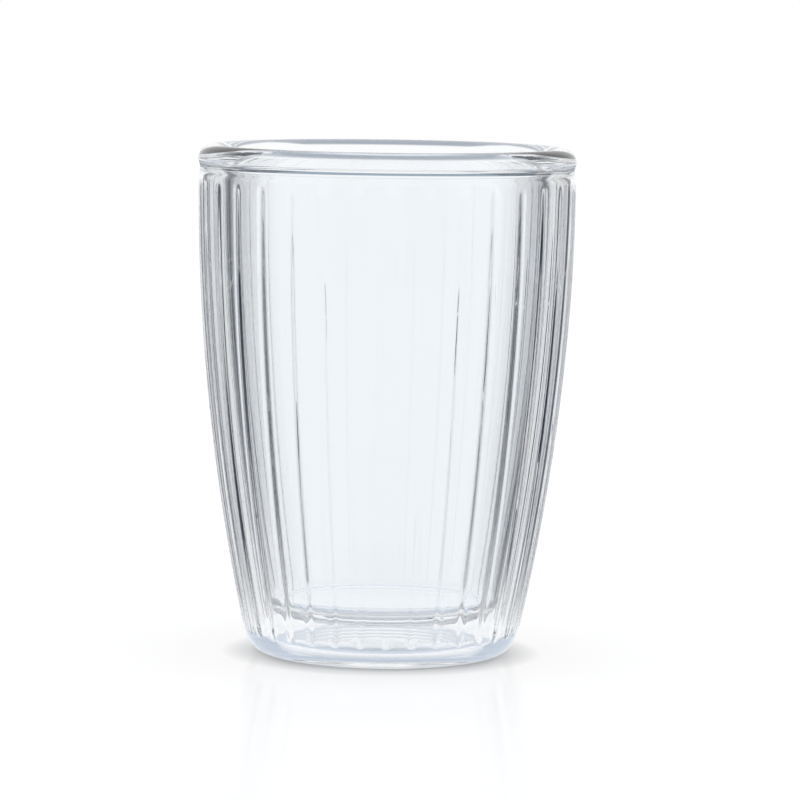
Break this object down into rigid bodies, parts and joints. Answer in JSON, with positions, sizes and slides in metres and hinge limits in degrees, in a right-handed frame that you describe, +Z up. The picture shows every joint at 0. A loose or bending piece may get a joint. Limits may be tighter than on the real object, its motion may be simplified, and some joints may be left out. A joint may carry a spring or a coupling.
{
  "type": "double-walled espresso cup",
  "caption": "Clear double-walled espresso glass with a ribbed, gently bowed outer wall, a plain inner bowl and a rounded fused rim, sealed by a soft vent plug in the base.",
  "frame": {"origin": "centre of the foot ring, on the surface that the cup stands on", "axes": "+Z up along the cup's axis to the rim, -Y towards the viewer, +X to the viewer's right"},
  "size_m": [0.0608, 0.061, 0.082],
  "materials": {
    "outer_glass": "gloss",
    "inner_glass": "gloss",
    "rim_glass": "gloss",
    "plug_silicone": "satin"
  },
  "bodies": {
    "root": {"outer_wall": "outer_glass", "inner_wall": "inner_glass", "fused_rim": "rim_glass", "vent_plug": "plug_silicone"}
  },
  "joints": []
}
